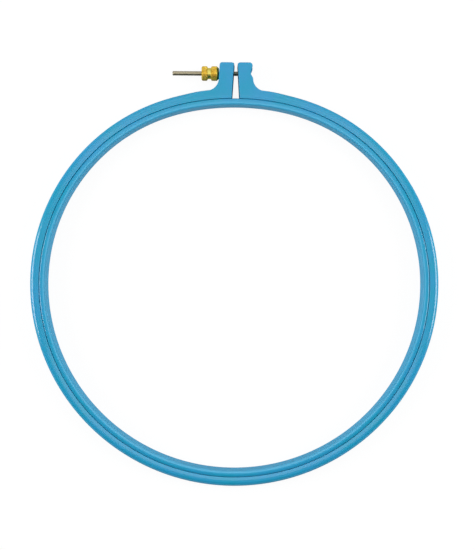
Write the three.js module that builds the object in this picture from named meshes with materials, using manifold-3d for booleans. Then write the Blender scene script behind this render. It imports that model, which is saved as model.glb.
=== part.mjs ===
// Embroidery hoop of 25 cm: a closed inner ring, a split outer ring with two clamp ears,
// the clamp screw through the ears and the knurled thumb nut that draws the ears together.
// Millimetres, +Z up. The hoop lies flat on z = 0, its ears point to +Y, and the screw runs
// along X with the nut and its free end at -X. Until the last step the rings' middle is x = y = 0.
import * as THREE from "three";
import { mergeVertices } from "three/addons/utils/BufferGeometryUtils.js";
import Module from "manifold-3d";

// Rings
const INNER_RING_RADIUS = 127; // outside of the inner ring, which the cloth lies over
const INNER_RING_WALL = 4.2;
const INNER_RING_RISE = 0.4; // how far it stands above the outer ring
const INNER_RING_CREST = 1.2; // from the bore to the highest line of the top
const INNER_RING_FALL = 0.9; // how much lower the top is at its outer edge
const INNER_RING_SHOULDER = 1.1; // rounding of the top at its outer edge
const INNER_RING_EDGE = 0.5; // rounding of the other edges
const RING_CLEARANCE = 0.3; // room for the cloth between the rings
const OUTER_RING_WALL = 5.85;
const OUTER_RING_DEPTH = 10;
const OUTER_RING_SHOULDER = 3; // rounding of the outside edges
const SHOULDER_RUN = 16; // length beside each ear over which it tightens to the ears' own edges
const OUTER_RING_LEAD_IN = 1.2; // rounding of the inside edges
const CLAMP_DRAW = 3.2; // how far the drawn-up clamp flattens both rings at the ears
const CLAMP_SPREAD = 0.3; // radians to each side over which the ears press on the rings
const DRAW_TERMS = 8; // cosine terms of the bent rings' outline

// Ears of the outer ring
const EAR_HEIGHT = 17.55; // from the outer ring's outside
const EAR_TOP_HALF_WIDTH = 10.75; // over both ears, at their tops
const EAR_FOOT_HALF_WIDTH = 11.8; // over both ears, where they meet the ring
const EAR_CORNER_ROUND = 1.6;
const EAR_FOOT_ROUND = 7.3;
const EAR_EDGE = 0.6; // rounding of the front and back edges
const GAP_TOP_HALF_WIDTH = 0.8; // the slit that the clamp closes, at the tops of the ears
const GAP_FOOT_HALF_WIDTH = 2.25; // and at the inside of the ring

// Clamp screw, an M3 thread with a slotted pan head let into the right ear
const SCREW_BELOW_TOP = 6.7; // from the tops of the ears to the screw's line
const SCREW_DIAMETER = 3;
const SCREW_LENGTH = 48.7; // under the head
const SCREW_POINT = 0.45; // bevel of the free end
const HEAD_DIAMETER = 5.5;
const HEAD_HEIGHT = 1.9;
const HEAD_CROWN = 0.7;
const SLOT_WIDTH = 0.8;
const SLOT_DEPTH = 1;
const HOLE_CLEARANCE = 0.3; // round the shank in the ears and the nut, and round the head
const SEAT_CLEARANCE = 0.3; // under the head, and between the nut and its ear
const DISH_RADIUS = 5.9; // mouth of the funnel that the head lies in, on the ear's outer side
const DISH_DEPTH = 3.4;
const HEAD_POCKET_DEPTH = 1.4; // the straight hole under the funnel

// Thumb nut, a spool with two knurled flanges
const NUT_FLANGE_DIAMETER = 9.5;
const NUT_OUTER_FLANGE = 4;
const NUT_NECK_DIAMETER = 7.2;
const NUT_NECK = 2.4;
const NUT_INNER_FLANGE = 3.6;
const NUT_NOSE = 1.1; // length of the cone towards the ear
const NUT_NOSE_DIAMETER = 6.8;
const NUT_EDGE = 0.45;
const KNURL_TEETH = 32;
const KNURL_DEPTH = 0.3;

// Facets
const RING_STEPS = 144;
const ARC_SAG = 0.05; // how far a facet of a rounded corner may leave its arc
const EDGE_STEPS = 2; // facets of the ears' rounded edges
const SCREW_STEPS = 24;
const CUT_MARGIN = 2; // how far a cutter runs past what it cuts
const SAME_POINT = 1e-4; // vertices nearer than this are one

const INNER_RING_DEPTH = OUTER_RING_DEPTH + INNER_RING_RISE;
const BORE_RADIUS = INNER_RING_RADIUS - INNER_RING_WALL;
const SEAT_RADIUS = INNER_RING_RADIUS + RING_CLEARANCE;
const OUTER_RADIUS = SEAT_RADIUS + OUTER_RING_WALL;
const RING_CROWN = OUTER_RADIUS - CLAMP_DRAW; // outside of the outer ring between the ears
const EAR_TOP = RING_CROWN + EAR_HEIGHT;
const EAR_MIDDLE = OUTER_RING_DEPTH / 2;
const SCREW_Y = EAR_TOP - SCREW_BELOW_TOP;
const HOLE_RADIUS = SCREW_DIAMETER / 2 + HOLE_CLEARANCE;
const NUT_LENGTH = NUT_OUTER_FLANGE + NUT_NECK + NUT_INNER_FLANGE + NUT_NOSE;

const wasm = await Module();
wasm.setup();

// Solid of a closed geometry, for joining and cutting
function solid(geometry) {
  const bare = geometry.clone();
  bare.deleteAttribute("normal");
  bare.deleteAttribute("uv");
  const merged = mergeVertices(bare, SAME_POINT);
  return new wasm.Manifold(
    new wasm.Mesh({
      numProp: 3,
      vertProperties: merged.attributes.position.array,
      triVerts: new Uint32Array(merged.index.array),
    }),
  );
}

function geometryOf(body) {
  const { vertProperties, triVerts } = body.getMesh();
  const geometry = new THREE.BufferGeometry();
  geometry.setAttribute("position", new THREE.BufferAttribute(vertProperties, 3));
  geometry.setIndex(new THREE.BufferAttribute(triVerts, 1));
  const faceted = geometry.toNonIndexed();
  faceted.computeVertexNormals();
  return faceted;
}

// Points of an outline through [x, y, rounding] corners, each rounded by an arc that
// touches both its sides
function roundedOutline(corners) {
  return corners.flatMap(([x, y, round = 0], i) => {
    const corner = new THREE.Vector2(x, y);
    if (round === 0) return [corner];
    const [beforeX, beforeY] = corners.at(i - 1);
    const [afterX, afterY] = corners[(i + 1) % corners.length];
    const before = new THREE.Vector2(beforeX, beforeY).sub(corner).normalize();
    const after = new THREE.Vector2(afterX, afterY).sub(corner).normalize();
    const half = before.angleTo(after) / 2;
    const middle = before.clone().add(after).setLength(round / Math.sin(half)).add(corner);
    const turn = Math.sign(before.cross(after)) * (2 * half - Math.PI);
    const start = before.setLength(round / Math.tan(half)).add(corner);
    const steps = Math.ceil(Math.abs(turn) / (2 * Math.acos(1 - ARC_SAG / round)));
    return Array.from({ length: steps + 1 }, (_, step) =>
      start.clone().rotateAround(middle, (turn * step) / steps));
  });
}

// Ring turned about Z from the outline of its section, in radius and height
function turnedRing(section) {
  return new THREE.LatheGeometry([...section, section[0]], RING_STEPS).rotateX(Math.PI / 2);
}

// How far the clamp draws the rings in at an angle from the ears: a round hoop that is
// pressed at one place bends into this cosine series, without growing longer
function drawAt(angle) {
  const series = (at) => {
    let sum = 0;
    for (let n = 2; n <= DRAW_TERMS; n++) {
      const spread = Math.sin(n * CLAMP_SPREAD) / (n * CLAMP_SPREAD);
      sum += (Math.cos(n * at) * spread) / (n * n - 1);
    }
    return sum;
  };
  return (CLAMP_DRAW * series(angle)) / series(0);
}

// Place in plan at a radius of the undrawn ring and an angle from the ears
function onRing(radius, angle) {
  const drawn = radius - drawAt(angle);
  return [drawn * Math.sin(angle), drawn * Math.cos(angle)];
}

// Bends a round ring into the shape that the drawn-up clamp gives it
function drawIn(geometry) {
  const place = geometry.attributes.position;
  for (let i = 0; i < place.count; i++) {
    const x = place.getX(i);
    const y = place.getY(i);
    const [drawnX, drawnY] = onRing(Math.hypot(x, y), Math.atan2(x, y));
    place.setXY(i, drawnX, drawnY);
  }
  return geometry;
}

// x of an ear's outer side and of the gap's side, at a distance from the rings' middle
const flankX = (y) =>
  THREE.MathUtils.mapLinear(y, EAR_TOP, RING_CROWN, EAR_TOP_HALF_WIDTH, EAR_FOOT_HALF_WIDTH);
const gapX = (y) =>
  THREE.MathUtils.mapLinear(
    y, EAR_TOP, SEAT_RADIUS - CLAMP_DRAW, GAP_TOP_HALF_WIDTH, GAP_FOOT_HALF_WIDTH);

function innerRing() {
  const edge = INNER_RING_EDGE;
  const section = roundedOutline([
    [BORE_RADIUS, 0, edge],
    [INNER_RING_RADIUS, 0, edge],
    [INNER_RING_RADIUS, INNER_RING_DEPTH - INNER_RING_FALL, INNER_RING_SHOULDER],
    [BORE_RADIUS + INNER_RING_CREST, INNER_RING_DEPTH, edge],
    [BORE_RADIUS, INNER_RING_DEPTH - INNER_RING_CREST / 2, edge],
  ]);
  return drawIn(turnedRing(section));
}

// Angles from the ears' middle where an ear's side meets the ring, and where its foot ends
const flankAngle = Math.atan2(flankX(RING_CROWN), RING_CROWN);
const footAngle = flankAngle + (EAR_FOOT_ROUND + CUT_MARGIN) / OUTER_RADIUS;

// Tightens the round shoulders beside the ears, so that they run into the ears' edges
function tightenShoulders(geometry) {
  const place = geometry.attributes.position;
  const endAngle = footAngle + SHOULDER_RUN / OUTER_RADIUS;
  const center = new THREE.Vector2();
  const off = new THREE.Vector2();
  for (let i = 0; i < place.count; i++) {
    const x = place.getX(i);
    const y = place.getY(i);
    const radius = Math.hypot(x, y);
    const height = place.getZ(i) - EAR_MIDDLE;
    const half = OUTER_RING_DEPTH / 2;
    center.set(OUTER_RADIUS - OUTER_RING_SHOULDER, half - OUTER_RING_SHOULDER);
    off.set(radius, Math.abs(height)).sub(center);
    if (off.x < 0 || off.y < 0) continue;
    const angle = Math.abs(Math.atan2(x, y));
    const share = THREE.MathUtils.smoothstep(angle, footAngle, endAngle);
    const round = THREE.MathUtils.lerp(EAR_EDGE, OUTER_RING_SHOULDER, share);
    off.multiplyScalar(round / OUTER_RING_SHOULDER);
    center.set(OUTER_RADIUS - round, half - round).add(off);
    place.setXYZ(i, (x * center.x) / radius, (y * center.x) / radius,
      EAR_MIDDLE + Math.sign(height) * center.y);
  }
  return geometry;
}

function outerRingBand() {
  const section = roundedOutline([
    [SEAT_RADIUS, 0, OUTER_RING_LEAD_IN],
    [OUTER_RADIUS, 0, OUTER_RING_SHOULDER],
    [OUTER_RADIUS, OUTER_RING_DEPTH, OUTER_RING_SHOULDER],
    [SEAT_RADIUS, OUTER_RING_DEPTH, OUTER_RING_LEAD_IN],
  ]);
  return solid(drawIn(tightenShoulders(turnedRing(section))));
}

// Right ear, with its round foot on the ring and its root inside the ring's wall
function ear() {
  const root = (SEAT_RADIUS + OUTER_RING_LEAD_IN + OUTER_RADIUS - OUTER_RING_SHOULDER) / 2;
  const rootY = root - CLAMP_DRAW;
  const outline = roundedOutline([
    [gapX(rootY), rootY],
    [gapX(EAR_TOP), EAR_TOP, EAR_CORNER_ROUND],
    [flankX(EAR_TOP), EAR_TOP, EAR_CORNER_ROUND],
    [...onRing(OUTER_RADIUS, flankAngle), EAR_FOOT_ROUND],
    onRing(OUTER_RADIUS, footAngle),
    onRing(root, footAngle),
    onRing(root, flankAngle),
  ]);
  return new THREE.ExtrudeGeometry(new THREE.Shape(outline), {
    depth: OUTER_RING_DEPTH - 2 * EAR_EDGE,
    bevelThickness: EAR_EDGE,
    bevelSize: EAR_EDGE,
    bevelOffset: -EAR_EDGE,
    bevelSegments: EDGE_STEPS,
  }).translate(0, 0, EAR_EDGE - EAR_MIDDLE);
}

// Slit through the ring between the ears, flared like the ears' rounded edges
function gapCutter() {
  const low = SEAT_RADIUS - CLAMP_DRAW - CUT_MARGIN;
  const high = RING_CROWN + CUT_MARGIN;
  const outline = new THREE.Shape();
  outline.moveTo(-gapX(low), low);
  outline.lineTo(gapX(low), low);
  outline.lineTo(gapX(high), high);
  outline.lineTo(-gapX(high), high);
  outline.closePath();
  const slit = new THREE.ExtrudeGeometry(outline, {
    depth: OUTER_RING_DEPTH + 2 * CUT_MARGIN,
    bevelEnabled: false,
  }).translate(0, 0, -CUT_MARGIN);
  const flare = new THREE.ExtrudeGeometry(outline, {
    depth: CUT_MARGIN,
    bevelThickness: EAR_EDGE,
    bevelSize: EAR_EDGE,
    bevelSegments: EDGE_STEPS,
  });
  const above = flare.clone().translate(0, 0, OUTER_RING_DEPTH);
  const below = flare.clone().translate(0, 0, -CUT_MARGIN);
  return solid(slit).add(solid(above)).add(solid(below));
}

// Turns a body made about Z so that it runs along X on the screw's line
function alongScrew(geometry, x) {
  return geometry.rotateY(Math.PI / 2).translate(x, SCREW_Y, EAR_MIDDLE);
}

// x of the face that the head bears on, below the funnel in the right ear
const headSeatX = flankX(SCREW_Y) - DISH_DEPTH - HEAD_POCKET_DEPTH;

function screwHoleCutter() {
  const length = 2 * (EAR_FOOT_HALF_WIDTH + CUT_MARGIN);
  const hole = new THREE.CylinderGeometry(HOLE_RADIUS, HOLE_RADIUS, length, SCREW_STEPS);
  return solid(alongScrew(hole.rotateX(Math.PI / 2), 0));
}

function headSeatCutter() {
  const pocket = HEAD_DIAMETER / 2 + HOLE_CLEARANCE;
  const top = HEAD_POCKET_DEPTH + DISH_DEPTH;
  const widening = (DISH_RADIUS - pocket) / DISH_DEPTH;
  const profile = [
    [0, 0],
    [pocket, 0],
    [pocket, HEAD_POCKET_DEPTH],
    [DISH_RADIUS + widening * CUT_MARGIN, top + CUT_MARGIN],
    [0, top + CUT_MARGIN],
  ].map(([radius, height]) => new THREE.Vector2(radius, height));
  const seat = new THREE.LatheGeometry(profile, 2 * SCREW_STEPS).rotateX(Math.PI / 2);
  return solid(alongScrew(seat, headSeatX));
}

function outerRing() {
  const rightEar = ear();
  const leftEar = rightEar.clone().rotateY(Math.PI);
  const body = outerRingBand()
    .subtract(gapCutter())
    .add(solid(rightEar.translate(0, 0, EAR_MIDDLE)))
    .add(solid(leftEar.translate(0, 0, EAR_MIDDLE)))
    .subtract(screwHoleCutter())
    .subtract(headSeatCutter());
  return geometryOf(body);
}

function clampScrew() {
  const radius = SCREW_DIAMETER / 2;
  const headRadius = HEAD_DIAMETER / 2;
  const profile = [
    [0, -SCREW_LENGTH],
    [radius - SCREW_POINT, -SCREW_LENGTH],
    [radius, SCREW_POINT - SCREW_LENGTH],
    [radius, 0],
    [headRadius, 0],
    [headRadius, HEAD_HEIGHT - HEAD_CROWN],
    [headRadius - HEAD_CROWN / 3, HEAD_HEIGHT - HEAD_CROWN / 3],
    [headRadius - HEAD_CROWN, HEAD_HEIGHT],
    [0, HEAD_HEIGHT],
  ].map(([r, height]) => new THREE.Vector2(r, height));
  const body = new THREE.LatheGeometry(profile, SCREW_STEPS).rotateX(Math.PI / 2);
  const slot = new THREE.BoxGeometry(SLOT_WIDTH, 2 * HEAD_DIAMETER, 2 * SLOT_DEPTH);
  slot.translate(0, 0, HEAD_HEIGHT);
  const cut = geometryOf(solid(body).subtract(solid(slot)));
  return alongScrew(cut, headSeatX + SEAT_CLEARANCE);
}

// Every second line of vertices on a flange's rim is a furrow of the knurl
function knurl(geometry) {
  const place = geometry.attributes.position;
  const rim = NUT_NECK_DIAMETER / 2 + KNURL_DEPTH;
  for (let i = 0; i < place.count; i++) {
    const x = place.getX(i);
    const y = place.getY(i);
    const radius = Math.hypot(x, y);
    const furrow = Math.round((Math.atan2(y, x) / Math.PI) * KNURL_TEETH) % 2 !== 0;
    if (furrow && radius > rim) {
      const cut = (radius - KNURL_DEPTH) / radius;
      place.setXY(i, x * cut, y * cut);
    }
  }
  return geometry;
}

function thumbNut() {
  const rim = NUT_FLANGE_DIAMETER / 2;
  const neck = NUT_NECK_DIAMETER / 2;
  const neckStart = NUT_OUTER_FLANGE;
  const neckEnd = neckStart + NUT_NECK;
  const noseStart = NUT_LENGTH - NUT_NOSE;
  const section = [
    [HOLE_RADIUS, 0],
    [rim - NUT_EDGE, 0],
    [rim, NUT_EDGE],
    [rim, neckStart - NUT_EDGE],
    [rim - NUT_EDGE, neckStart],
    [neck, neckStart],
    [neck, neckEnd],
    [rim - NUT_EDGE, neckEnd],
    [rim, neckEnd + NUT_EDGE],
    [rim, noseStart],
    [NUT_NOSE_DIAMETER / 2, NUT_LENGTH],
    [HOLE_RADIUS, NUT_LENGTH],
    [HOLE_RADIUS, 0],
  ].map(([radius, height]) => new THREE.Vector2(radius, height));
  const body = new THREE.LatheGeometry(section, 2 * KNURL_TEETH).rotateX(Math.PI / 2);
  const earFace = -flankX(SCREW_Y - NUT_NOSE_DIAMETER / 2);
  return alongScrew(knurl(body), earFace - SEAT_CLEARANCE - NUT_LENGTH);
}

// Materials
const bluePlastic = () =>
  new THREE.MeshStandardMaterial({ color: 0x3fa0cb, roughness: 0.32, metalness: 0 });
const paleBluePlastic = () =>
  new THREE.MeshStandardMaterial({ color: 0x45a6d0, roughness: 0.32, metalness: 0 });
const platedSteel = () =>
  new THREE.MeshStandardMaterial({ color: 0xa09585, roughness: 0.35, metalness: 1 });
const brass = () =>
  new THREE.MeshStandardMaterial({ color: 0xd3b13c, roughness: 0.3, metalness: 1 });

function piece(name, geometry, material) {
  const mesh = new THREE.Mesh(geometry, material);
  mesh.name = name;
  return mesh;
}

const group = new THREE.Group();
group.add(
  piece("outer_ring", outerRing(), bluePlastic()),
  piece("inner_ring", innerRing(), paleBluePlastic()),
  piece("clamp_screw", clampScrew(), platedSteel()),
  piece("thumb_nut", thumbNut(), brass()),
);

// The origin is the middle of the whole hoop, ears included, on the table
const middle = new THREE.Box3().setFromObject(group).getCenter(new THREE.Vector3());
group.position.set(-middle.x, -middle.y, 0);

export default group;
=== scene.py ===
# Embroidery hoop: two moulded plastic rings, the threaded clamp screw and the knurled thumb nut
import math

import bmesh
import bpy
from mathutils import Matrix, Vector


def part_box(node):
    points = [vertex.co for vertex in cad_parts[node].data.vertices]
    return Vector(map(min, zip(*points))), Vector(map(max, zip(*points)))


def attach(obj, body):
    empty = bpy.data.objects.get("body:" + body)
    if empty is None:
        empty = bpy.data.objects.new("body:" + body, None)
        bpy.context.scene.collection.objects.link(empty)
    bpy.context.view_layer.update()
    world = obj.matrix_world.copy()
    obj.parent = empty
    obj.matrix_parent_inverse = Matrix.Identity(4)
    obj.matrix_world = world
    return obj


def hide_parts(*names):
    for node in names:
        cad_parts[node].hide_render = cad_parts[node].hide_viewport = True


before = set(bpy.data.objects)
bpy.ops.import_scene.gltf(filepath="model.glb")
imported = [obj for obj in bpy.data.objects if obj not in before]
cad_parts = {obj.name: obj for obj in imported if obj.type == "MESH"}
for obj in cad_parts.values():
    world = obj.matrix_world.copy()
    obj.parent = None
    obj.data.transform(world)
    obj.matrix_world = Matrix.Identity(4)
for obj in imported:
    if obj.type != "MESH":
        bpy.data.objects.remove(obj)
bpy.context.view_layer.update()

MM = 0.001

# Rings, in section and in plan
INNER_RING_RADIUS = 127 * MM  # outside of the inner ring
INNER_RING_WALL = 4.3 * MM
INNER_RING_RISE = 0.36 * MM  # how far it stands above the outer ring
INNER_RING_CREST = 1.2 * MM  # from the bore to the highest line of the top
INNER_RING_CREST_ROUND = 1.6 * MM
INNER_RING_KNEE = 1.5 * MM  # from the outside in to the knee, where the top turns down
INNER_RING_KNEE_FALL = 0.12 * MM  # how much lower than the crest the knee is
INNER_RING_KNEE_ROUND = 5 * MM
INNER_RING_FALL = 0.61 * MM  # how much lower than the crest the outer edge is
INNER_RING_SHOULDER = 1.3 * MM  # rounding of that edge
INNER_RING_EDGE = 0.5 * MM  # rounding of the other edges
BORE_DRAFT = 0.4 * MM  # how much thicker the wall is at the table
RING_CLEARANCE = 0.3 * MM  # room for the cloth between the rings
SEAM = 0.04 * MM  # what the drawn-up clamp leaves of it while there is no cloth
OUTER_RING_WALL = 5.85 * MM
OUTER_RING_SHOULDER = 3.4 * MM  # rounding of the outside edges
OUTER_RING_LEAD_IN = 1.2 * MM  # rounding of the lower inside edge
OUTER_RING_INNER_EDGE = 0.22 * MM  # rounding of the upper inside edge
SHOULDER_RUN = 16 * MM  # length beside each ear over which the shoulder tightens
RING_STEPS = 432

# Fall of the outer ring's top towards the seam, at the side away from the ears
CROWN_WIDTH = 1.4 * MM
CROWN_ROUND_REACH = 0.7 * MM  # how far the rounding where it starts reaches to each side
CROWN_SLOPE = math.tan(math.radians(17))
CROWN_START = math.radians(100)  # angle from the ears where the fall begins
CROWN_FULL = math.radians(150)  # and where it is full

# Bend of both rings under the drawn-up clamp
CLAMP_DRAW = 3.2 * MM  # how far it flattens them at the ears
CLAMP_SPREAD = 0.3  # radians to each side over which the ears press on them
DRAW_TERMS = 8  # cosine terms of the bent outline

# Ears
EAR_HEIGHT = 17.55 * MM  # from the outer ring's outside
EAR_TOP_HALF_WIDTH = 10.75 * MM  # over both ears, at their tops
EAR_FOOT_HALF_WIDTH = 11.8 * MM  # over both ears, where they meet the ring
EAR_CORNER_ROUND = 1.6 * MM  # outer corner of the ear beside the nut
HEAD_EAR_CORNER_ROUND = 1.9 * MM  # outer corner of the ear that holds the screw's head
SLIT_CORNER_ROUND = 2.6 * MM  # corners beside the slit, which cuts off their ends
EAR_FOOT_ROUND = 7.8 * MM
EAR_EDGE = 0.6 * MM  # rounding of the upper and lower edges
GAP_TOP_HALF_WIDTH = 0.8 * MM  # the slit that the clamp closes, at the tops of the ears
GAP_FOOT_HALF_WIDTH = 2.25 * MM  # and at the inside of the ring
SLIT_EDGE = 0.3 * MM  # rounding of the slit's edges
SLIT_DRAFT = 0.45 * MM  # how much wider the slit is to each side at the upper face
SLIT_SHIFT = -0.12 * MM  # how far it lies beside the middle
SLIT_TRIM = 0.5 * MM  # width that the ears have to spare before the slit is cut
CUT_MARGIN = 2 * MM  # how far a cutting tool runs past what it cuts
FOOT_SINK = 0.03 * MM  # how deep the ears' feet start in the ring
FACE_SINK = 0.004 * MM  # how much lower the ears' faces are than the ring's before the join

# Clamp screw
SCREW_RADIUS = 1.5 * MM
SCREW_POINT = 0.45 * MM  # bevel of the free end
THREAD_PITCH = 0.5 * MM
THREAD_DEPTH = 0.16 * MM
THREAD_STEPS = 24
HEAD_HEIGHT = 1.9 * MM
HEAD_CROWN = 0.7 * MM  # rounding of the head's front edge
HEAD_BACK_EDGE = 0.15 * MM
SLOT_WIDTH = 0.8 * MM
SLOT_DEPTH = 1 * MM
HOLE_CLEARANCE = 0.3 * MM  # round the shank in the ears, and round the head
HOLE_STEPS = 48
DISH_RADIUS = 6.0 * MM  # mouth of the funnel that the head lies in, on the ear's outer side
DISH_SHIFT = Vector((0, 0.4 * MM, 0.15 * MM))  # how far the mouth lies off the screw's line
DISH_DEPTH = 4.1 * MM
HEAD_POCKET_DEPTH = 0.7 * MM  # the straight hole under the funnel

# Thumb nut, a spool with two knurled flanges
NUT_OUTER_FLANGE = 4 * MM
NUT_NECK_DIAMETER = 7.2 * MM
NUT_NECK = 2.4 * MM  # length of the neck
NUT_NOSE = 1.1 * MM  # length of the cone towards the ear
NUT_NOSE_REACH = 0.3 * MM  # how far it goes into the play before the ear
NUT_NOSE_DIAMETER = 6.8 * MM
NUT_NOSE_EDGE = 0.15 * MM
NUT_EDGE = 1.05 * MM
NUT_NECK_ROUND = 0.7 * MM
NUT_BORE_RADIUS = 1.6 * MM
NUT_BORE_EDGE = 0.3 * MM
KNURL_TEETH = 32
KNURL_STEPS = 4  # points of the rim in one tooth
KNURL_DEPTH = 0.28 * MM
TURN_STEPS = 96

# Painted sheen and wear
SHEEN_START = 1.2 * MM  # the inner ring's bore is painted paler, as painted sheen, out as far as this
SHEEN_END = 2.6 * MM  # and left unpainted from here
WORN_FACE = 4 * MM * MM  # faces smaller than this, which are the rounded edges, can be worn
WORN_ROUND = 0.7 * MM  # edges that are rounded more tightly than this are worn most
LEAST_REACH = 0.05 * MM  # least width that a rounded edge is taken to have

# Camera, which looks straight down
CAMERA_DISTANCE = 0.65  # from the top of the outer ring
CAMERA_SHIFT = (2.08 * MM, 7.54 * MM)  # from the middle of the rings
CAMERA_TURN = math.radians(0.48)
FRAME_HEIGHT = 0.3615  # what the picture takes in, at the top of the outer ring
SENSOR_HEIGHT = 36  # in millimetres, as a camera's settings have it

# Light of the room, and its floor and backdrop
LOW_LIGHT = 0.05
CEILING_LIGHT = 0.90
CEILING_TILT = math.radians(20)  # the brightest place is this far off the zenith, behind the ears
CEILING_FOCUS = 3
FLOOR_SIZE = 30
FLOOR_DROP = 0.02 * MM  # how far the floor lies below the hoop
FLOOR_PAINT = (0.93, 0.93, 0.93, 1)
FLOOR_GLOW = 0.92  # how white the floor looks by itself, the rest comes from the light on it
BACKDROP_RADIUS = 14
BACKDROP_HEIGHT = 3
BACKDROP_SINK = 0.01

WELD = 0.0005 * MM  # points that are nearer than this are one
SMOOTH_ANGLE = math.radians(32)  # edges that turn by less than this are shaded smooth

# Places that the frame gives
outer_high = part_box("outer_ring")[1]
screw_low, screw_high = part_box("clamp_screw")
nut_low, nut_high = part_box("thumb_nut")

BORE_RADIUS = INNER_RING_RADIUS - INNER_RING_WALL
SEAT_RADIUS = INNER_RING_RADIUS + SEAM
OUTER_RADIUS = INNER_RING_RADIUS + RING_CLEARANCE + OUTER_RING_WALL
OUTER_DEPTH = outer_high.z
INNER_DEPTH = outer_high.z + INNER_RING_RISE
RING_CROWN = OUTER_RADIUS - CLAMP_DRAW
EAR_TOP = RING_CROWN + EAR_HEIGHT
RINGS_MIDDLE = Vector((0, outer_high.y - EAR_TOP, 0))
SCREW_LINE = Vector((0, (screw_low.y + screw_high.y) / 2, (screw_low.z + screw_high.z) / 2))
SCREW_Y = SCREW_LINE.y - RINGS_MIDDLE.y
HEAD_RADIUS = (screw_high.y - screw_low.y) / 2
HEAD_FOOT = screw_high.x - HEAD_HEIGHT
NUT_RADIUS = (nut_high.y - nut_low.y) / 2


# Handwork
def only(piece):
    bpy.ops.object.select_all(action="DESELECT")
    piece.select_set(True)
    bpy.context.view_layer.objects.active = piece


def start_edit(piece):
    only(piece)
    bpy.ops.object.mode_set(mode="EDIT")


def end_edit():
    bpy.ops.object.mode_set(mode="OBJECT")


def pick(kind, test):
    """Selects the vertices, edges or faces of the piece in edit mode that pass a test"""
    bpy.ops.mesh.select_mode(type=kind)
    bpy.ops.mesh.select_all(action="DESELECT")
    mesh = bmesh.from_edit_mesh(bpy.context.object.data)
    items = {"VERT": mesh.verts, "EDGE": mesh.edges, "FACE": mesh.faces}[kind]
    for item in items:
        if test(item):
            item.select_set(True)
    mesh.select_flush_mode()
    bmesh.update_edit_mesh(bpy.context.object.data)


def outline_face(name, corners):
    """A flat face whose points are pulled to the corners of an outline"""
    bpy.ops.object.select_all(action="DESELECT")
    bpy.ops.mesh.primitive_circle_add(vertices=len(corners), radius=MM, fill_type="NGON")
    piece = bpy.context.object
    piece.name = piece.data.name = name
    for vertex, corner in zip(piece.data.vertices, corners):
        vertex.co = corner
    return piece


def round_corner(corner, radius, segments):
    """Rounds one corner of the flat face in edit mode"""
    pick("VERT", lambda vertex: (vertex.co - corner).length < WELD)
    mesh = bmesh.from_edit_mesh(bpy.context.object.data)
    point = next(vertex for vertex in mesh.verts if vertex.select)
    before, after = [edge.other_vert(point).co - point.co for edge in point.link_edges]
    reach = radius / math.tan(before.angle(after) / 2)
    bpy.ops.mesh.bevel(offset=reach, segments=segments, affect="VERTICES")


def close_up():
    """Welds the piece in edit mode, turns its faces outwards and leaves edit mode"""
    bpy.ops.mesh.select_mode(type="VERT")
    bpy.ops.mesh.select_all(action="SELECT")
    bpy.ops.mesh.remove_doubles(threshold=WELD)
    bpy.ops.mesh.dissolve_degenerate(threshold=WELD)
    bpy.ops.mesh.normals_make_consistent(inside=False)
    end_edit()


def spin_round(piece, centre, axis, steps):
    """Turns the outline of a flat face once round an axis"""
    line = Vector(axis)

    def on_axis(edge):
        return all((vertex.co - centre).cross(line).length < WELD for vertex in edge.verts)
    pick("FACE", lambda face: True)
    bpy.ops.mesh.delete(type="ONLY_FACE")
    pick("EDGE", on_axis)
    bpy.ops.mesh.delete(type="EDGE")
    bpy.ops.mesh.select_mode(type="VERT")
    bpy.ops.mesh.select_all(action="SELECT")
    bpy.ops.mesh.spin(steps=steps, angle=math.tau, center=centre, axis=axis)
    close_up()
    return piece


def apply_modifier(piece, kind, **settings):
    change = piece.modifiers.new("change", kind)
    for name, value in settings.items():
        setattr(change, name, value)
    only(piece)
    bpy.ops.object.modifier_apply(modifier=change.name)


def join_in(piece, tool, operation="DIFFERENCE"):
    """Cuts a tool out of a piece, or joins it on, and drops the tool"""
    apply_modifier(piece, "BOOLEAN", operation=operation, solver="EXACT", object=tool)
    bpy.data.objects.remove(tool)
    start_edit(piece)
    close_up()


def smooth(piece):
    only(piece)
    bpy.ops.object.shade_smooth_by_angle(angle=SMOOTH_ANGLE)
    apply_modifier(piece, "WEIGHTED_NORMAL", keep_sharp=True, weight=80)


# Rings
def draw_at(angle):
    """How far the clamp draws the rings in, at an angle from the ears"""
    def series(at):
        return sum(
            math.cos(n * at) * math.sin(n * CLAMP_SPREAD) / (n * CLAMP_SPREAD * (n * n - 1))
            for n in range(2, DRAW_TERMS + 1))
    return CLAMP_DRAW * series(angle) / series(0)


def on_ring(radius, angle):
    """x and y of a point of the bent ring, at an angle from the ears"""
    drawn = radius - draw_at(angle)
    return drawn * math.sin(angle), drawn * math.cos(angle)


def draw_in(ring):
    """Bends a round ring into the shape that the drawn-up clamp gives it"""
    for vertex in ring.data.vertices:
        x, y = (vertex.co - RINGS_MIDDLE).xy
        x, y = on_ring(math.hypot(x, y), math.atan2(x, y))
        vertex.co.x, vertex.co.y = RINGS_MIDDLE.x + x, RINGS_MIDDLE.y + y


def in_section(radius, height):
    """Point of a ring's section, on the ring's right"""
    return RINGS_MIDDLE + Vector((radius, 0, height))


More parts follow.
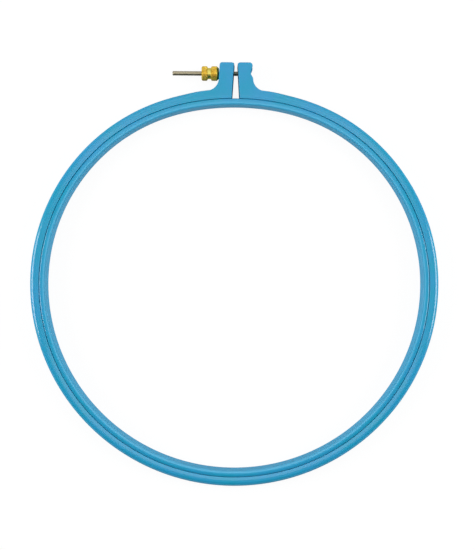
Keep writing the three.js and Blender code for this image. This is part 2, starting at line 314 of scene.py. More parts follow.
def make_inner_ring():
    corners = [
        in_section(BORE_RADIUS - BORE_DRAFT, 0),
        in_section(INNER_RING_RADIUS, 0),
        in_section(INNER_RING_RADIUS, INNER_DEPTH - INNER_RING_FALL),
        in_section(INNER_RING_RADIUS - INNER_RING_KNEE, INNER_DEPTH - INNER_RING_KNEE_FALL),
        in_section(BORE_RADIUS + INNER_RING_CREST, INNER_DEPTH),
        in_section(BORE_RADIUS, INNER_DEPTH - INNER_RING_CREST / 2),
    ]
    ring = outline_face("inner_ring_moulding", corners)
    start_edit(ring)
    for corner in corners[:2] + corners[5:]:
        round_corner(corner, INNER_RING_EDGE, 5)
    round_corner(corners[2], INNER_RING_SHOULDER, 8)
    round_corner(corners[3], INNER_RING_KNEE_ROUND, 6)
    round_corner(corners[4], INNER_RING_CREST_ROUND, 8)
    spin_round(ring, RINGS_MIDDLE, (0, 0, 1), RING_STEPS)
    mark_painted_sheen(ring)
    draw_in(ring)
    return ring


def mark_painted_sheen(ring):
    """Stores where the ring gets painted sheen, from 0 to 1: its bore and its crest"""
    share = []
    for vertex in ring.data.vertices:
        from_bore = (vertex.co - RINGS_MIDDLE).xy.length - BORE_RADIUS
        share.append(min(1, max(0, (SHEEN_END - from_bore) / (SHEEN_END - SHEEN_START))))
    painted_sheen = ring.data.attributes.new("painted_sheen", "FLOAT", "POINT")
    painted_sheen.data.foreach_set("value", share)


def flank_x(y):
    """x of an ear's outer side, at a height from the rings' middle"""
    share = (y - RING_CROWN) / EAR_HEIGHT
    return EAR_FOOT_HALF_WIDTH + share * (EAR_TOP_HALF_WIDTH - EAR_FOOT_HALF_WIDTH)


def gap_x(y):
    """x of the side of the slit between the ears, at a height from the rings' middle"""
    foot = SEAT_RADIUS - CLAMP_DRAW
    share = (y - foot) / (EAR_TOP - foot)
    return GAP_FOOT_HALF_WIDTH + share * (GAP_TOP_HALF_WIDTH - GAP_FOOT_HALF_WIDTH)


FLANK_ANGLE = math.atan2(flank_x(RING_CROWN), RING_CROWN)
FOOT_ANGLE = FLANK_ANGLE + (EAR_FOOT_ROUND + CUT_MARGIN) / OUTER_RADIUS


def tighten_shoulders(ring):
    """Tightens the round shoulders beside the ears, so that they run into the ears' edges"""
    half = OUTER_DEPTH / 2
    for vertex in ring.data.vertices:
        off = vertex.co - RINGS_MIDDLE
        radius = math.hypot(off.x, off.y)
        out = radius - (OUTER_RADIUS - OUTER_RING_SHOULDER)
        up = abs(off.z - half) - (half - OUTER_RING_SHOULDER)
        if out < -WELD or up < -WELD:
            continue
        share = (abs(math.atan2(off.x, off.y)) - FOOT_ANGLE) * OUTER_RADIUS / SHOULDER_RUN
        share = min(1, max(0, share))
        round_ = EAR_EDGE + (OUTER_RING_SHOULDER - EAR_EDGE) * share * share * (3 - 2 * share)
        tighter = round_ / OUTER_RING_SHOULDER
        radius_now = OUTER_RADIUS - round_ + out * tighter
        vertex.co.x = RINGS_MIDDLE.x + off.x * radius_now / radius
        vertex.co.y = RINGS_MIDDLE.y + off.y * radius_now / radius
        vertex.co.z = half + math.copysign(half - round_ + up * tighter, off.z - half)


def flatten_crown(ring):
    """Leaves the fall of the top towards the seam only on the far side of the ring"""
    for vertex in ring.data.vertices:
        off = vertex.co - RINGS_MIDDLE
        if off.z < OUTER_DEPTH / 2:
            continue
        inwards = SEAT_RADIUS + CROWN_WIDTH - math.hypot(off.x, off.y)
        on_round = inwards + CROWN_ROUND_REACH
        if on_round < 0:
            continue
        fall = CROWN_SLOPE * inwards
        if inwards < CROWN_ROUND_REACH:
            fall = CROWN_SLOPE * on_round * on_round / (4 * CROWN_ROUND_REACH)
        share = (abs(math.atan2(off.x, off.y)) - CROWN_START) / (CROWN_FULL - CROWN_START)
        share = min(1, max(0, share))
        vertex.co.z += fall * (1 - share * share * (3 - 2 * share))


def make_band():
    """The outer ring before its ears are joined on and its slit is cut"""
    corners = [
        in_section(SEAT_RADIUS, 0),
        in_section(OUTER_RADIUS, 0),
        in_section(OUTER_RADIUS, OUTER_DEPTH),
        in_section(SEAT_RADIUS + CROWN_WIDTH, OUTER_DEPTH),
        in_section(SEAT_RADIUS, OUTER_DEPTH - CROWN_WIDTH * CROWN_SLOPE),
    ]
    band = outline_face("outer_ring_moulding", corners)
    start_edit(band)
    round_corner(corners[0], OUTER_RING_LEAD_IN, 6)
    for corner in (corners[1], corners[2]):
        round_corner(corner, OUTER_RING_SHOULDER, 14)
    half_turn = math.atan(CROWN_SLOPE) / 2
    round_corner(corners[3], CROWN_ROUND_REACH / math.tan(half_turn), 8)
    round_corner(corners[4], OUTER_RING_INNER_EDGE, 5)
    spin_round(band, RINGS_MIDDLE, (0, 0, 1), RING_STEPS)
    flatten_crown(band)
    tighten_shoulders(band)
    draw_in(band)
    return band


def make_ear(side):
    """One clamp ear with its round foot, whose root lies inside the ring's wall"""
    root = (SEAT_RADIUS + OUTER_RING_LEAD_IN + OUTER_RADIUS - OUTER_RING_SHOULDER) / 2
    root_y = root - CLAMP_DRAW
    outline = [
        (gap_x(root_y) - SLIT_TRIM, root_y),
        (gap_x(EAR_TOP) - SLIT_TRIM, EAR_TOP),
        (flank_x(EAR_TOP), EAR_TOP),
        on_ring(OUTER_RADIUS - FOOT_SINK, FLANK_ANGLE),
        on_ring(OUTER_RADIUS - FOOT_SINK, FOOT_ANGLE),
        on_ring(root, FOOT_ANGLE),
        on_ring(root, FLANK_ANGLE),
    ]
    corners = [RINGS_MIDDLE + Vector((side * x, y, FACE_SINK)) for x, y in outline]
    ear = outline_face("ear", corners)
    start_edit(ear)
    round_corner(corners[1], SLIT_CORNER_ROUND, 8)
    round_corner(corners[2], HEAD_EAR_CORNER_ROUND if side > 0 else EAR_CORNER_ROUND, 8)
    round_corner(corners[3], EAR_FOOT_ROUND, 20)
    bpy.ops.mesh.select_all(action="SELECT")
    depth = OUTER_DEPTH - 2 * FACE_SINK
    bpy.ops.mesh.extrude_region_move(TRANSFORM_OT_translate={"value": (0, 0, depth)})
    bpy.ops.mesh.select_all(action="SELECT")
    bpy.ops.mesh.normals_make_consistent(inside=False)
    pick("FACE", lambda face: abs(face.normal.z) > 0.9)
    bpy.ops.mesh.region_to_loop()
    bpy.ops.mesh.bevel(offset=EAR_EDGE, segments=5, affect="EDGES")
    close_up()
    return ear


def make_slit_tool():
    """Tool for the slit between the ears, with slabs whose round corners flare the slit"""
    low = SEAT_RADIUS - CLAMP_DRAW - CUT_MARGIN
    high = EAR_TOP + CUT_MARGIN
    plan = [(-gap_x(low), low), (gap_x(low), low), (gap_x(high), high), (-gap_x(high), high)]
    tool = outline_face("slit_tool", [RINGS_MIDDLE + Vector((x, y, -CUT_MARGIN)) for x, y in plan])
    start_edit(tool)
    bpy.ops.mesh.select_all(action="SELECT")
    for rise in (CUT_MARGIN, OUTER_DEPTH, CUT_MARGIN):
        bpy.ops.mesh.extrude_region_move(TRANSFORM_OT_translate={"value": (0, 0, rise)})
    bpy.ops.mesh.select_all(action="SELECT")
    bpy.ops.mesh.normals_make_consistent(inside=False)

    def on_slab_side(face):
        height = face.calc_center_median().z
        return abs(face.normal.x) > 0.9 and not 0 < height < OUTER_DEPTH
    pick("FACE", on_slab_side)
    bpy.ops.mesh.extrude_faces_move(TRANSFORM_OT_shrink_fatten={"value": 2 * SLIT_EDGE})

    def in_corner(edge):
        heights = [vertex.co.z for vertex in edge.verts]
        level = abs(heights[0] - heights[1]) < WELD
        at_slab = min(abs(heights[0]), abs(heights[0] - OUTER_DEPTH)) < WELD
        x, y = ((edge.verts[0].co + edge.verts[1].co) / 2).xy
        on_slit = abs(abs(x) - gap_x(y - RINGS_MIDDLE.y)) < WELD
        return level and at_slab and on_slit
    pick("EDGE", in_corner)
    bpy.ops.mesh.bevel(offset=SLIT_EDGE, segments=5, affect="EDGES")
    close_up()
    for vertex in tool.data.vertices:
        widening = SLIT_DRAFT * max(0, vertex.co.z / OUTER_DEPTH)
        vertex.co.x += math.copysign(widening, vertex.co.x) + SLIT_SHIFT
    return tool


def turned(name, profile, steps, rounds=()):
    """A piece turned about the screw's line from (x, radius) corners of its half section"""
    corners = [SCREW_LINE + Vector((x, radius, 0)) for x, radius in profile]
    piece = outline_face(name, corners)
    start_edit(piece)
    for index, round_, segments in rounds:
        round_corner(corners[index], round_, segments)
    return spin_round(piece, SCREW_LINE, (1, 0, 0), steps)


def make_screw_hole_tool():
    """Tool for the hole through both ears"""
    reach = EAR_FOOT_HALF_WIDTH + CUT_MARGIN
    radius = SCREW_RADIUS + HOLE_CLEARANCE
    profile = [(-reach, 0), (-reach, radius), (reach, radius), (reach, 0)]
    return turned("screw_hole_tool", profile, HOLE_STEPS)


def make_head_seat_tool():
    """Tool for the funnel and the pocket in the right ear that the screw's head lies in"""
    face = flank_x(SCREW_Y)
    bottom = face - DISH_DEPTH - HEAD_POCKET_DEPTH
    pocket = HEAD_RADIUS + HOLE_CLEARANCE
    widening = (DISH_RADIUS - pocket) / DISH_DEPTH
    tool = turned("head_seat_tool", [
        (bottom, 0),
        (bottom, pocket),
        (bottom + HEAD_POCKET_DEPTH, pocket),
        (face + CUT_MARGIN, DISH_RADIUS + widening * CUT_MARGIN),
        (face + CUT_MARGIN, 0),
    ], TURN_STEPS)
    for vertex in tool.data.vertices:
        if vertex.co.x > face:
            vertex.co += DISH_SHIFT * (1 + CUT_MARGIN / DISH_DEPTH)
    return tool


def make_outer_ring():
    ring = make_band()
    for side in (1, -1):
        join_in(ring, make_ear(side), "UNION")
    join_in(ring, make_slit_tool())
    join_in(ring, make_screw_hole_tool())
    join_in(ring, make_head_seat_tool())
    return ring


# Clamp screw
def make_thread():
    """Threaded shank, wound from one turn of the thread and cut square at both ends"""
    start = screw_low.x - 2 * THREAD_PITCH
    end = HEAD_FOOT + 2 * THREAD_PITCH
    valley = SCREW_RADIUS - THREAD_DEPTH
    turn = [(0, valley), (0.1, valley), (0.36, SCREW_RADIUS), (0.64, SCREW_RADIUS),
            (0.9, valley), (1, valley)]
    corners = [Vector((start + share * THREAD_PITCH, radius, 0)) for share, radius in turn]
    shank = outline_face("threaded_shank", corners)
    start_edit(shank)
    # What is left of the outline for the winding is its open profile, without the side that
    # joins one turn's start to its end
    pick("EDGE", lambda edge: edge.calc_length() > 0.9 * THREAD_PITCH)
    bpy.ops.mesh.delete(type="EDGE_FACE")
    end_edit()
    apply_modifier(
        shank, "SCREW", axis="X", angle=math.tau, screw_offset=THREAD_PITCH,
        iterations=math.ceil((end - start) / THREAD_PITCH), steps=THREAD_STEPS,
        render_steps=THREAD_STEPS)
    start_edit(shank)
    close_up()
    start_edit(shank)
    bpy.ops.mesh.select_all(action="SELECT")
    bpy.ops.transform.translate(value=SCREW_LINE)
    for x, side in ((screw_low.x, -1), (HEAD_FOOT + WELD, 1)):
        bpy.ops.mesh.select_all(action="SELECT")
        bpy.ops.mesh.bisect(
            plane_co=(x, 0, 0), plane_no=(side, 0, 0), use_fill=True, clear_outer=True,
            threshold=WELD / 10)
    close_up()
    turn_point(shank)
    return shank


def turn_point(shank):
    """Turns the free end down to a short cone"""
    for vertex in shank.data.vertices:
        off = vertex.co - SCREW_LINE
        radius = math.hypot(off.y, off.z)
        allowed = SCREW_RADIUS - SCREW_POINT + off.x - screw_low.x
        if radius > allowed:
            vertex.co.y = SCREW_LINE.y + off.y * allowed / radius
            vertex.co.z = SCREW_LINE.z + off.z * allowed / radius


def make_slot_tool():
    """Tool for the screwdriver's slot in the head"""
    bpy.ops.object.select_all(action="DESELECT")
    bpy.ops.mesh.primitive_cube_add(
        size=1, location=(screw_high.x, SCREW_LINE.y, SCREW_LINE.z),
        scale=(2 * SLOT_DEPTH, 3 * HEAD_RADIUS, SLOT_WIDTH))
    tool = bpy.context.object
    bpy.ops.object.transform_apply(location=True, scale=True)
    return tool


def make_clamp_screw():
    screw = turned("clamp_screw_steel", [
        (HEAD_FOOT, 0),
        (HEAD_FOOT, HEAD_RADIUS),
        (screw_high.x, HEAD_RADIUS),
        (screw_high.x, 0),
    ], TURN_STEPS, rounds=((1, HEAD_BACK_EDGE, 3), (2, HEAD_CROWN, 8)))
    join_in(screw, make_slot_tool())
    join_in(screw, make_thread(), "UNION")
    return screw


# Thumb nut
def press_knurl(nut):
    """Presses the furrows of the knurl into the rims of both flanges"""
    furrow = math.tau / KNURL_TEETH
    rim = NUT_NECK_DIAMETER / 2 + 2 * KNURL_DEPTH

    def in_furrow(vertex):
        off = vertex.co - SCREW_LINE
        phase = math.atan2(off.z, off.y) / furrow % 1
        return math.hypot(off.y, off.z) > rim and abs(phase - 0.5) < 0.3 / KNURL_STEPS
    start_edit(nut)
    pick("VERT", in_furrow)
    shrink = 1 - KNURL_DEPTH / NUT_RADIUS
    bpy.ops.transform.resize(value=(1, shrink, shrink), center_override=SCREW_LINE)
    end_edit()


def make_thumb_nut():
    neck = NUT_NECK_DIAMETER / 2
    neck_start = nut_low.x + NUT_OUTER_FLANGE
    neck_end = neck_start + NUT_NECK
    nut = turned("thumb_nut_brass", [
        (nut_low.x, NUT_BORE_RADIUS),
        (nut_low.x, NUT_RADIUS),
        (neck_start, NUT_RADIUS),
        (neck_start, neck),
        (neck_end, neck),
        (neck_end, NUT_RADIUS),
        (nut_high.x - NUT_NOSE, NUT_RADIUS),
        (nut_high.x + NUT_NOSE_REACH, NUT_NOSE_DIAMETER / 2),
        (nut_high.x + NUT_NOSE_REACH, NUT_BORE_RADIUS),
    ], KNURL_TEETH * KNURL_STEPS, rounds=(
        (0, NUT_BORE_EDGE, 2), (1, NUT_EDGE, 4), (2, NUT_EDGE, 4), (3, NUT_NECK_ROUND, 4),
        (4, NUT_NECK_ROUND, 4), (5, NUT_EDGE, 4), (6, NUT_EDGE / 2, 3), (7, NUT_NOSE_EDGE, 2)))
    press_knurl(nut)
    return nut


# Finishes
class Finish:
    """A node material on one Principled surface, with short calls for the nodes that feed it"""

    def __init__(self, name, **settings):
        self.material = bpy.data.materials.new(name)
        self.material.use_nodes = True
        self.nodes = self.material.node_tree.nodes
        self.links = self.material.node_tree.links
        self.surface = self.nodes["Principled BSDF"]
        for socket, value in settings.items():
            self.surface.inputs[socket.replace("_", " ")].default_value = value
        self.place = self.nodes.new("ShaderNodeTexCoord").outputs["Object"]

    def join(self, source, socket):
        """Feeds a socket from another node, or sets it to a plain value"""
        if isinstance(source, bpy.types.NodeSocket):
            self.links.new(source, socket)
        else:
            socket.default_value = source

    def mapping(self, source, location=(0, 0, 0), scale=(1, 1, 1)):
        node = self.nodes.new("ShaderNodeMapping")
        self.links.new(source, node.inputs["Vector"])
        node.inputs["Location"].default_value = location
        node.inputs["Scale"].default_value = scale
        return node.outputs["Vector"]

    def noise(self, vector, scale, detail=3, roughness=0.55):
        node = self.nodes.new("ShaderNodeTexNoise")
        self.links.new(vector, node.inputs["Vector"])
        node.inputs["Scale"].default_value = scale
        node.inputs["Detail"].default_value = detail
        node.inputs["Roughness"].default_value = roughness
        return node.outputs["Fac"]

    def math(self, operation, *values, clamp=False):
        node = self.nodes.new("ShaderNodeMath")
        node.operation = operation
        node.use_clamp = clamp
        for value, socket in zip(values, node.inputs):
            self.join(value, socket)
        return node.outputs["Value"]

    def every(self, *shares):
        """Product of several shares"""
        product = shares[0]
        for share in shares[1:]:
            product = self.math("MULTIPLY", product, share)
        return product

    def spread(self, value, low, high, to_low=0.0, to_high=1.0):
        """Maps a value between two limits onto two others, and holds it there beyond them"""
        node = self.nodes.new("ShaderNodeMapRange")
        node.interpolation_type = "SMOOTHSTEP"
        for value, socket in zip((value, low, high, to_low, to_high), node.inputs):
            self.join(value, socket)
        return node.outputs["Result"]

    def apart(self, vector):
        """The three coordinates of a vector"""
        parts = self.nodes.new("ShaderNodeSeparateXYZ")
        self.links.new(vector, parts.inputs["Vector"])
        return parts.outputs

    def mix(self, share, first, second):
        """Mixes two colours"""
        node = self.nodes.new("ShaderNodeMix")
        node.data_type = "RGBA"
        self.join(share, node.inputs[0])
        self.join(first, node.inputs[6])
        self.join(second, node.inputs[7])
        return node.outputs[2]

    def attribute(self, name):
        """A value that was stored on the piece"""
        node = self.nodes.new("ShaderNodeAttribute")
        node.attribute_name = name
        return node.outputs["Fac"]

    def round_the_rings(self, along, across):
        """Coordinates that follow the rings: length round them, radius and height"""
        x, y, z = self.apart(self.mapping(self.place, location=-RINGS_MIDDLE))
        angle = self.math("ARCTAN2", x, y)
        radius = self.math("SQRT", self.math("ADD", self.math("MULTIPLY", x, x),
                                             self.math("MULTIPLY", y, y)))
        joined = self.nodes.new("ShaderNodeCombineXYZ")
        self.links.new(self.math("MULTIPLY", angle, along), joined.inputs[0])
        self.links.new(self.math("MULTIPLY", radius, across), joined.inputs[1])
        self.links.new(self.math("MULTIPLY", z, across), joined.inputs[2])
        return joined.outputs["Vector"]

    def flatness(self):
        """1 where the surface lies flat, down to 0 where it stands upright"""
        normal = self.nodes.new("ShaderNodeNewGeometry").outputs["Normal"]
        return self.math("ABSOLUTE", self.apart(normal)[2])

    def from_screw_line(self):
        """Distance from the screw's line"""
        centred = self.mapping(self.place, location=-SCREW_LINE, scale=(0, 1, 1))
        node = self.nodes.new("ShaderNodeVectorMath")
        node.operation = "LENGTH"
        self.links.new(centred, node.inputs[0])
        return node.outputs["Value"]

    def bump(self, *layers):
        """Layers of (height, depth in metres), from the finest up"""
        normal = None
        for height, depth in layers:
            node = self.nodes.new("ShaderNodeBump")
            node.inputs["Distance"].default_value = depth
            self.links.new(height, node.inputs["Height"])
            if normal:
                self.links.new(normal, node.inputs["Normal"])
            normal = node.outputs["Normal"]
        self.links.new(normal, self.surface.inputs["Normal"])

    def feed(self, **sockets):
        """Feeds the surface's sockets, named with _ for their spaces"""
        for name, value in sockets.items():
            self.links.new(value, self.surface.inputs[name.replace("_", " ")])


# Colours of the finishes
PLASTIC_BLUE = (0.012, 0.243, 0.451, 1)
PLASTIC_DEEP = (0.004, 0.256, 0.413, 1)
PLASTIC_RUBBED = (0.055, 0.289, 0.464, 1)
# Painted sheen on the inner ring's bore, and a painted highlight on its crest
PLASTIC_BORE_SHEEN = (0.036, 0.266, 0.446, 1)
PLASTIC_CREST_HIGHLIGHT = (0.028, 0.320, 0.530, 1)
# Painted shade for the funnel's and the slit's steep sides
PLASTIC_SHADE = (0.001, 0.085, 0.190, 1)
STEEL_DULL = (0.50, 0.46, 0.32, 1)
STEEL_BRIGHT = (0.60, 0.55, 0.41, 1)
STEEL_VALLEY = (0.32, 0.28, 0.20, 1)
# Painted shade along the screw's lower side
STEEL_SHADE_BELOW = (0.10, 0.085, 0.07, 1)
# Painted shade on the screw where it runs between the ears
STEEL_SHADE_BETWEEN_EARS = (0.06, 0.10, 0.09, 1)
BRASS_DULL = (0.62, 0.40, 0.050, 1)
BRASS_BRIGHT = (0.84, 0.61, 0.11, 1)
# Painted highlight in the nut's neck
BRASS_NECK_HIGHLIGHT = (0.62, 0.54, 0.13, 1)
BRASS_DIRTY = (0.42, 0.32, 0.05, 1)
# Painted shade along the nut's lower and upper sides
BRASS_SHADE_SIDES = (0.20, 0.18, 0.03, 1)
# Grease and painted shade where the nut's nose meets the ear
BRASS_GREASE_AND_SHADE = (0.06, 0.07, 0.02, 1)

# Patterns in the finishes, in waves per metre, and how deep they are pressed into them
CLOUDS, CLOUD_DEPTH = 45, 0.03 * MM
GRAIN, GRAIN_DEPTH = 900, 0.002 * MM
PEEL, PEEL_DEPTH = 2800, 0.0006 * MM
SCRATCHES = (260, 5200, 900)
RUBS_ALONG = 9  # this one per radian round the rings
RUBS_ACROSS, RUB_DEPTH = 2600, 0.0006 * MM
PLATING_BLOTCHES, PLATING_BLOTCH_DEPTH = 700, 0.01 * MM
PLATING_GRAIN, PLATING_GRAIN_DEPTH = 5200, 0.003 * MM
BRASS_BLOTCHES = 420
BRASS_GRAIN, BRASS_GRAIN_DEPTH = 4200, 0.002 * MM
LATHE_RINGS, LATHE_DEPTH = (9000, 60, 60), 0.004 * MM

# Gloss of the plastic: its flat sides are polished by use, its steep ones are as moulded
POLISHED_GLOSS = 0.5
POLISHED_ROUGHNESS = 0.12
MOULDED_GLOSS = 0.04
MOULDED_ROUGHNESS = 0.42
RUBBED_ROUGHNESS = 0.3  # what rub marks add


def painted_shade(finish):
    """Share of painted shade on the steep sides of the funnel for the head and of the slit"""
    x, y = finish.apart(finish.place)[:2]
    steep = finish.spread(finish.flatness(), 0.7, 0.85, 1, 0)
    in_dish = finish.every(
        steep, finish.spread(finish.from_screw_line(), DISH_RADIUS, DISH_RADIUS + 0.3 * MM, 1, 0),
        finish.spread(x, HEAD_FOOT - 4 * MM, HEAD_FOOT - 3 * MM),
        finish.spread(y, SCREW_LINE.y, SCREW_LINE.y + 1.5 * MM, 0, 0.8))
    slit_foot = RINGS_MIDDLE.y + SEAT_RADIUS - CLAMP_DRAW
    in_slit = finish.every(
        steep, finish.spread(finish.math("ABSOLUTE", x), 3.2 * MM, 3.4 * MM, 1, 0),
        finish.spread(y, slit_foot - 0.2 * MM, slit_foot, 0, 0.45))
    return finish.math("MAXIMUM", in_dish, in_slit)


def moulded_plastic(name, rub):
    """Glossy moulded plastic with fine rub marks round the rings and paler, duller edges"""
    finish = Finish(name, IOR=1.46)
    clouds = finish.noise(finish.place, CLOUDS, detail=4)
    grain = finish.noise(finish.place, GRAIN, detail=3)
    peel = finish.noise(finish.place, PEEL, detail=2)
    scratches = finish.noise(finish.mapping(finish.place, scale=SCRATCHES), 1, detail=2)
    scratched = finish.spread(scratches, 0.68, 0.74)
    rubs = finish.noise(
        finish.round_the_rings(RUBS_ALONG, RUBS_ACROSS), 1, detail=4, roughness=0.7)
    rubbed = finish.spread(rubs, 0.60, 0.78)
    edges = finish.attribute("edge_wear")
    worn = finish.math("MULTIPLY", edges, finish.spread(grain, 0.3, 0.7, 0.35, 1.0))
    tint = finish.mix(finish.spread(clouds, 0.35, 0.65), PLASTIC_DEEP, PLASTIC_BLUE)
    marks = finish.math("ADD", finish.math("MULTIPLY", rubbed, rub),
                        finish.math("MULTIPLY", worn, 0.4), clamp=True)
    marks = finish.math("MAXIMUM", marks, finish.math("MULTIPLY", scratched, 0.35))
    shade_share = painted_shade(finish)
    # Painted sheen: the bore and the crest are painted paler, standing in for their reflections
    on_crest = finish.spread(
        finish.apart(finish.place)[2], INNER_DEPTH - 0.3 * MM, INNER_DEPTH - 0.1 * MM)
    sheen_colour = finish.mix(on_crest, PLASTIC_BORE_SHEEN, PLASTIC_CREST_HIGHLIGHT)
    with_sheen = finish.mix(finish.attribute("painted_sheen"), tint, sheen_colour)
    # Painted shade darkens the funnel's and the slit's walls and takes away their gloss
    shaded = finish.mix(shade_share, with_sheen, PLASTIC_SHADE)
    polished = finish.spread(finish.flatness(), 0.62, 0.79)
    finish.feed(
        Base_Color=finish.mix(marks, shaded, PLASTIC_RUBBED),
        Specular_IOR_Level=finish.math(
            "MULTIPLY", finish.spread(polished, 0, 1, MOULDED_GLOSS, POLISHED_GLOSS),
            finish.spread(shade_share, 0, 0.4, 1, 0)),
        Roughness=finish.math(
            "ADD", finish.spread(polished, 0, 1, MOULDED_ROUGHNESS, POLISHED_ROUGHNESS),
            finish.math("ADD", finish.spread(clouds, 0.3, 0.7, 0, 0.05),
                        finish.math("MULTIPLY", marks, RUBBED_ROUGHNESS))))
    finish.bump(
        (peel, PEEL_DEPTH), (grain, GRAIN_DEPTH), (rubs, RUB_DEPTH), (clouds, CLOUD_DEPTH))
    return finish.material


def plated_steel():
    """Dull plating, darker down in the thread, with painted shade along its lower side and between
    the ears
    """
    finish = Finish("plated_steel", Metallic=1.0, IOR=2.5, Specular_Tint=(0.35, 0.31, 0.26, 1))
    blotches = finish.noise(finish.place, PLATING_BLOTCHES, detail=4)
    grain = finish.noise(finish.place, PLATING_GRAIN, detail=3)
    crest = finish.spread(finish.from_screw_line(), SCREW_RADIUS - THREAD_DEPTH, SCREW_RADIUS)
    clean = finish.mix(finish.spread(blotches, 0.35, 0.65), STEEL_DULL, STEEL_BRIGHT)
    along, across = finish.apart(finish.place)[:2]
    # Painted shade between the ears
    between_ears = finish.every(
        finish.spread(finish.math("ABSOLUTE", along), 1.6 * MM, 2.6 * MM, 1, 0),
        finish.spread(across, SCREW_LINE.y - 0.8 * MM, SCREW_LINE.y + 1.2 * MM, 0.95, 0.25))
    # Painted shade along the lower side
    shade_below = finish.spread(across, SCREW_LINE.y - 1.4 * MM, SCREW_LINE.y - 0.5 * MM, 0.7, 0)
    threaded = finish.mix(shade_below, finish.mix(crest, STEEL_VALLEY, clean), STEEL_SHADE_BELOW)
    finish.feed(
        Base_Color=finish.mix(between_ears, threaded, STEEL_SHADE_BETWEEN_EARS),
        Roughness=finish.math("ADD", finish.spread(blotches, 0.3, 0.7, 0.30, 0.42),
                              finish.spread(crest, 0, 1, 0.15, 0)))
    finish.bump((grain, PLATING_GRAIN_DEPTH), (blotches, PLATING_BLOTCH_DEPTH))
    return finish.material


def turned_brass():
    """Turned brass with the lathe's fine rings, dirty in the knurl, with painted shade along its
    lower and upper sides, grease and painted shade at the nose and a painted highlight in the neck"""
    finish = Finish("brass", Metallic=1.0, IOR=1.8, Specular_Tint=(0.75, 0.60, 0.30, 1))
    blotches = finish.noise(finish.place, BRASS_BLOTCHES, detail=4)
    grain = finish.noise(finish.place, BRASS_GRAIN, detail=3)
    lathe = finish.noise(finish.mapping(finish.place, scale=LATHE_RINGS), 1, detail=2)
    radius = finish.from_screw_line()
    in_knurl = finish.spread(radius, NUT_RADIUS - KNURL_DEPTH, NUT_RADIUS - KNURL_DEPTH / 4, 1, 0)
    dirt = finish.math("MULTIPLY", in_knurl, finish.spread(blotches, 0.25, 0.7, 0.4, 0.8))
    bright = finish.mix(finish.spread(blotches, 0.35, 0.68), BRASS_DULL, BRASS_BRIGHT)
    along, across = finish.apart(finish.place)[:2]
    # Painted shade on the nut's lower and upper sides
    shaded_sides = finish.math(
        "MAXIMUM", finish.spread(across, SCREW_LINE.y - 4.7 * MM, SCREW_LINE.y - 1.5 * MM, 0.7, 0),
        finish.spread(across, SCREW_LINE.y + 3.4 * MM, SCREW_LINE.y + 4.6 * MM, 0, 0.5))
    # Grease and painted shade at the nose, next to the ear
    nose_grease_and_shade = finish.math(
        "MULTIPLY", finish.spread(along, nut_high.x - NUT_NOSE, nut_high.x, 0, 0.7),
        finish.spread(blotches, 0.3, 0.6, 0.6, 1))
    # Painted highlight: the neck is painted a paler yellow
    neck = NUT_NECK_DIAMETER / 2
    in_neck = finish.math("MULTIPLY", finish.spread(radius, neck, neck + 0.4 * MM, 1, 0),
                          finish.spread(radius, neck - 0.2 * MM, neck - 0.1 * MM))
    polished = finish.mix(in_neck, bright, BRASS_NECK_HIGHLIGHT)
    dirt = finish.math("SUBTRACT", dirt, in_neck, clamp=True)
    dirty_and_shaded = finish.mix(shaded_sides, finish.mix(dirt, polished, BRASS_DIRTY), BRASS_SHADE_SIDES)
    finish.feed(
        Base_Color=finish.mix(nose_grease_and_shade, dirty_and_shaded, BRASS_GREASE_AND_SHADE),
        Roughness=finish.math("ADD", finish.spread(blotches, 0.3, 0.7, 0.38, 0.48),
                              finish.math("MULTIPLY", dirt, 0.1)))
    finish.bump((grain, BRASS_GRAIN_DEPTH), (lathe, LATHE_DEPTH))
    return finish.material


def mark_edges(piece):
    """Stores how tightly each corner of a narrow face is rounded, up to 1 where it is worn most"""
    mesh = bmesh.new()
    mesh.from_mesh(piece.data)
    sharpness = [0.0] * len(mesh.verts)
    for edge in mesh.edges:
        if len(edge.link_faces) != 2 or not edge.is_convex:
            continue
        turn = edge.calc_face_angle(0)
        reach = sum(
            (face.calc_center_median() - edge.verts[0].co).cross(
                (edge.verts[1].co - edge.verts[0].co).normalized()).length
            for face in edge.link_faces)
        bend = turn / max(reach, LEAST_REACH) * WORN_ROUND
        for vertex in edge.verts:
            sharpness[vertex.index] = max(sharpness[vertex.index], min(1, bend))
    mesh.free()
    share = []
    for face in piece.data.polygons:
        narrow = face.area < WORN_FACE
        share.extend(sharpness[index] if narrow else 0 for index in face.vertices)
    wear = piece.data.attributes.new("edge_wear", "FLOAT", "CORNER")
    wear.data.foreach_set("value", share)


def dress(piece, material, node, body):
    """Gives a finished piece its material and its place in the model"""
    piece.data.materials.clear()
    piece.data.materials.append(material)
    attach(piece, body)
    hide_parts(node)


# Studio
def camera():
    data = bpy.data.cameras.new("camera")
    data.sensor_width = SENSOR_HEIGHT  # which holds for the longer side of the picture
    data.lens = SENSOR_HEIGHT * CAMERA_DISTANCE / FRAME_HEIGHT
    eye = bpy.data.objects.new("camera", data)
    eye.location = RINGS_MIDDLE + Vector((*CAMERA_SHIFT, OUTER_DEPTH + CAMERA_DISTANCE))
    eye.rotation_euler = (0, 0, CAMERA_TURN)
    bpy.context.scene.collection.objects.link(eye)
    bpy.context.scene.camera = eye


def softbox(name, place, size, watts):
    """A lamp with a rectangular face, turned towards the hoop"""
    data = bpy.data.lights.new(name, "AREA")
    data.shape = "RECTANGLE"
    data.size, data.size_y = size
    data.energy = watts
    lamp = bpy.data.objects.new(name, data)
    lamp.location = place
    lamp.rotation_euler = (-Vector(place)).to_track_quat("-Z", "Y").to_euler()
    bpy.context.scene.collection.objects.link(lamp)


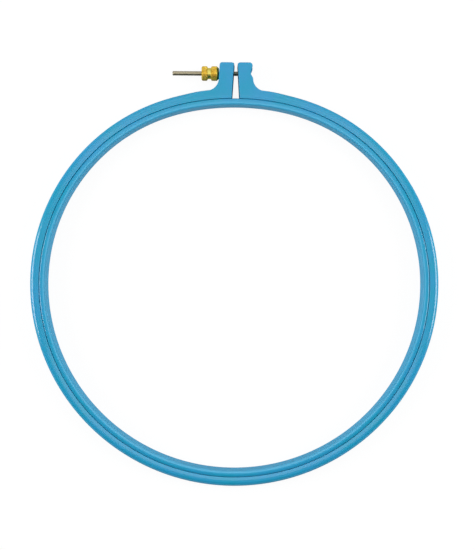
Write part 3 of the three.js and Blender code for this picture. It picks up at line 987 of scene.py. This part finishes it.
def studio_world():
    """Room that is bright overhead and dim low down"""
    world = bpy.data.worlds.new("studio")
    bpy.context.scene.world = world
    world.use_nodes = True
    nodes, links = world.node_tree.nodes, world.node_tree.links
    nearness = nodes.new("ShaderNodeVectorMath")
    nearness.operation = "DOT_PRODUCT"
    links.new(nodes.new("ShaderNodeTexCoord").outputs["Generated"], nearness.inputs[0])
    nearness.inputs[1].default_value = (0, math.sin(CEILING_TILT), math.cos(CEILING_TILT))
    last = nearness.outputs["Value"]
    for operation, value in (("MAXIMUM", 0), ("POWER", CEILING_FOCUS),
                             ("MULTIPLY", CEILING_LIGHT), ("ADD", LOW_LIGHT)):
        node = nodes.new("ShaderNodeMath")
        node.operation = operation
        links.new(last, node.inputs[0])
        node.inputs[1].default_value = value
        last = node.outputs["Value"]
    links.new(last, nodes["Background"].inputs["Strength"])
    nodes["Background"].inputs["Color"].default_value = (1, 1, 1, 1)


def white_stage():
    """Pale floor with a low round backdrop far off, white to the eye and in reflections"""
    bpy.ops.object.select_all(action="DESELECT")
    bpy.ops.mesh.primitive_plane_add(size=FLOOR_SIZE, location=(0, 0, -FLOOR_DROP))
    floor = bpy.context.object
    floor.name = "floor"
    material = bpy.data.materials.new("floor_white")
    material.use_nodes = True
    nodes, links = material.node_tree.nodes, material.node_tree.links
    nodes.remove(nodes["Principled BSDF"])
    matt = nodes.new("ShaderNodeBsdfDiffuse")
    matt.inputs["Color"].default_value = FLOOR_PAINT
    glow = nodes.new("ShaderNodeEmission")
    glow.inputs["Strength"].default_value = 1
    path = nodes.new("ShaderNodeLightPath")
    seen = path.outputs["Is Camera Ray"]
    for ray in ("Is Glossy Ray", "Is Transmission Ray"):
        either = nodes.new("ShaderNodeMath")
        either.operation = "MAXIMUM"
        links.new(seen, either.inputs[0])
        links.new(path.outputs[ray], either.inputs[1])
        seen = either.outputs["Value"]
    share = nodes.new("ShaderNodeMath")
    share.operation = "MULTIPLY"
    links.new(seen, share.inputs[0])
    share.inputs[1].default_value = FLOOR_GLOW
    mixed = nodes.new("ShaderNodeMixShader")
    links.new(share.outputs["Value"], mixed.inputs["Fac"])
    links.new(matt.outputs["BSDF"], mixed.inputs[1])
    links.new(glow.outputs["Emission"], mixed.inputs[2])
    links.new(mixed.outputs["Shader"], nodes["Material Output"].inputs["Surface"])
    floor.data.materials.append(material)
    bpy.ops.object.select_all(action="DESELECT")
    bpy.ops.mesh.primitive_cylinder_add(
        vertices=96, radius=BACKDROP_RADIUS, depth=BACKDROP_HEIGHT, end_fill_type="NOTHING",
        location=(0, 0, BACKDROP_HEIGHT / 2 - BACKDROP_SINK))
    backdrop = bpy.context.object
    backdrop.name = "backdrop"
    backdrop.data.materials.append(material)


# The hoop
outer_ring = make_outer_ring()
inner_ring = make_inner_ring()
clamp_screw = make_clamp_screw()
thumb_nut = make_thumb_nut()
for piece in (outer_ring, inner_ring, clamp_screw, thumb_nut):
    smooth(piece)
for ring in (outer_ring, inner_ring):
    mark_edges(ring)

dress(outer_ring, moulded_plastic("outer_ring_plastic", rub=0.12),
      "outer_ring", "outer_ring")
dress(inner_ring, moulded_plastic("inner_ring_plastic", rub=0.14),
      "inner_ring", "inner_ring")
dress(clamp_screw, plated_steel(), "clamp_screw", "clamp_screw")
dress(thumb_nut, turned_brass(), "thumb_nut", "thumb_nut")

# Its picture
studio_world()
white_stage()
softbox("behind_the_ears", (0, 0.75, 0.75), (1.4, 1.0), 3.5)
softbox("overhead", (0, 0, 0.70), (0.45, 0.45), 1.0)
softbox("left", (-1.30, 0, 0.58), (0.7, 0.75), 14)
softbox("right", (1.30, 0, 0.58), (0.7, 0.75), 13.5)
camera()

view_settings = bpy.context.scene.view_settings
view_settings.view_transform = "Standard"
